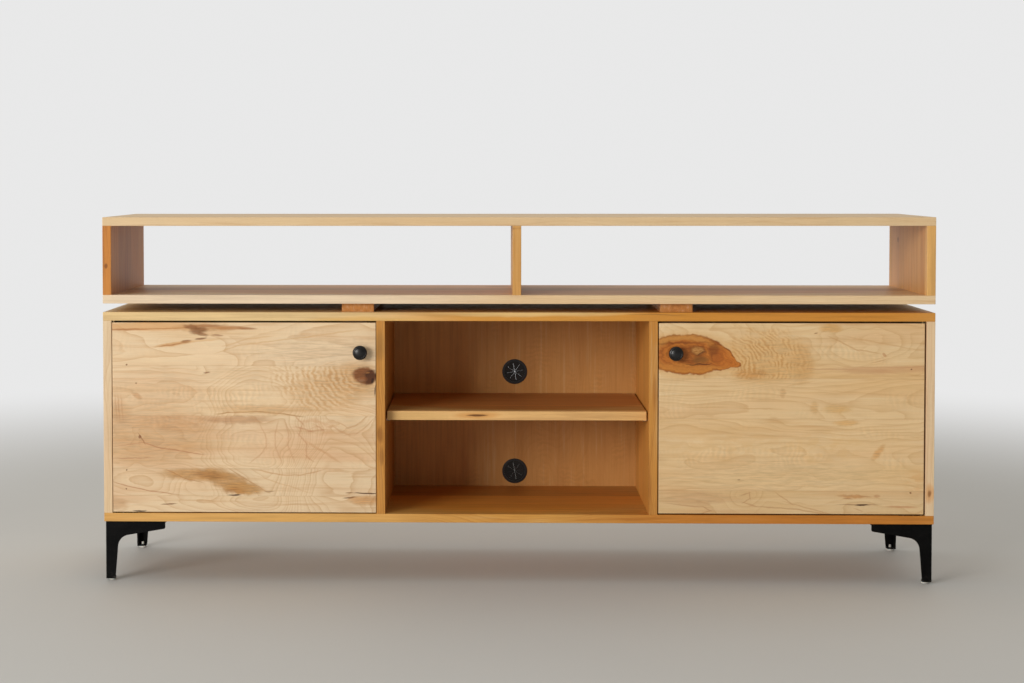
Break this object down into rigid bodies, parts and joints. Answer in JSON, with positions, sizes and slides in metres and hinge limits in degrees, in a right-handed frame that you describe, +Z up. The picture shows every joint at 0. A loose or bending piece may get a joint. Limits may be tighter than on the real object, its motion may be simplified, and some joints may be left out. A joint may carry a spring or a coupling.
{
  "type": "media console cabinet",
  "caption": "Low maple media console on black steel corner legs, with inset doors either side of an open shelved bay and an open riser shelf raised on runners above it.",
  "frame": {"origin": "centre of the overall footprint at floor level, under the glides", "axes": "+X along the width to the viewer's right, -Y out of the front, +Z up"},
  "size_m": [1.829, 0.432, 0.8065],
  "materials": {
    "maple": "satin",
    "door_maple": "satin",
    "maple_ply": "satin",
    "runner_wood": "satin",
    "dowel_wood": "matte",
    "black_steel": "satin",
    "knob_black": "satin",
    "zinc_steel": "satin",
    "hinge_brass": "satin",
    "catch_plastic": "matte",
    "nylon": "matte",
    "grommet_plastic": "satin",
    "grommet_rubber": "matte"
  },
  "bodies": {
    "cabinet": {"cabinet_top": "maple", "cabinet_bottom": "maple", "side_left": "maple", "side_right": "maple", "divider_left": "maple", "divider_right": "maple", "riser_bottom": "maple", "riser_top": "maple", "riser_end_left": "maple", "riser_end_right": "maple", "riser_divider": "maple", "back_panel": "maple_ply", "runner_left": "runner_wood", "runner_right": "runner_wood", "carcass_dowels": "dowel_wood", "riser_dowels": "dowel_wood", "leg_front_left": "black_steel", "leg_front_right": "black_steel", "leg_rear_left": "black_steel", "leg_rear_right": "black_steel", "leg_screws": "black_steel", "back_panel_screws": "zinc_steel", "riser_screws": "zinc_steel", "catch_screws": "zinc_steel", "catch_magnets": "zinc_steel", "shelf_pins": "zinc_steel", "hinge_leaves_cabinet_left": "hinge_brass", "hinge_leaves_cabinet_right": "hinge_brass", "hinge_pins": "hinge_brass", "hinge_washers": "hinge_brass", "hinge_screws_cabinet": "hinge_brass", "catch_housing_left": "catch_plastic", "catch_housing_right": "catch_plastic", "leg_glides": "nylon", "grommet_ring_upper": "grommet_plastic", "grommet_ring_lower": "grommet_plastic", "grommet_insert_upper": "grommet_rubber", "grommet_insert_lower": "grommet_rubber"},
    "door_left": {"door_left": "door_maple", "knob_left": "knob_black", "knob_screw_left": "zinc_steel", "strike_plate_left": "zinc_steel", "strike_screws_left": "zinc_steel", "hinge_leaves_door_left": "hinge_brass", "hinge_screws_door_left": "hinge_brass"},
    "door_right": {"door_right": "door_maple", "knob_right": "knob_black", "knob_screw_right": "zinc_steel", "strike_plate_right": "zinc_steel", "strike_screws_right": "zinc_steel", "hinge_leaves_door_right": "hinge_brass", "hinge_screws_door_right": "hinge_brass"},
    "shelf": {"shelf": "maple"}
  },
  "joints": [
    {"name": "door_left_hinge", "type": "hinge", "parent": "cabinet", "child": "door_left", "pos_m": [-0.8903, -0.186, 0.36], "axis": [0, 0, -1], "range_deg": [0, 100]},
    {"name": "door_right_hinge", "type": "hinge", "parent": "cabinet", "child": "door_right", "pos_m": [0.888, -0.186, 0.36], "axis": [0, 0, 1], "range_deg": [0, 100]},
    {"name": "shelf_slide", "type": "slide", "parent": "cabinet", "child": "shelf", "axis": [0, -1, 0], "range_m": [0, 0.33]}
  ]
}
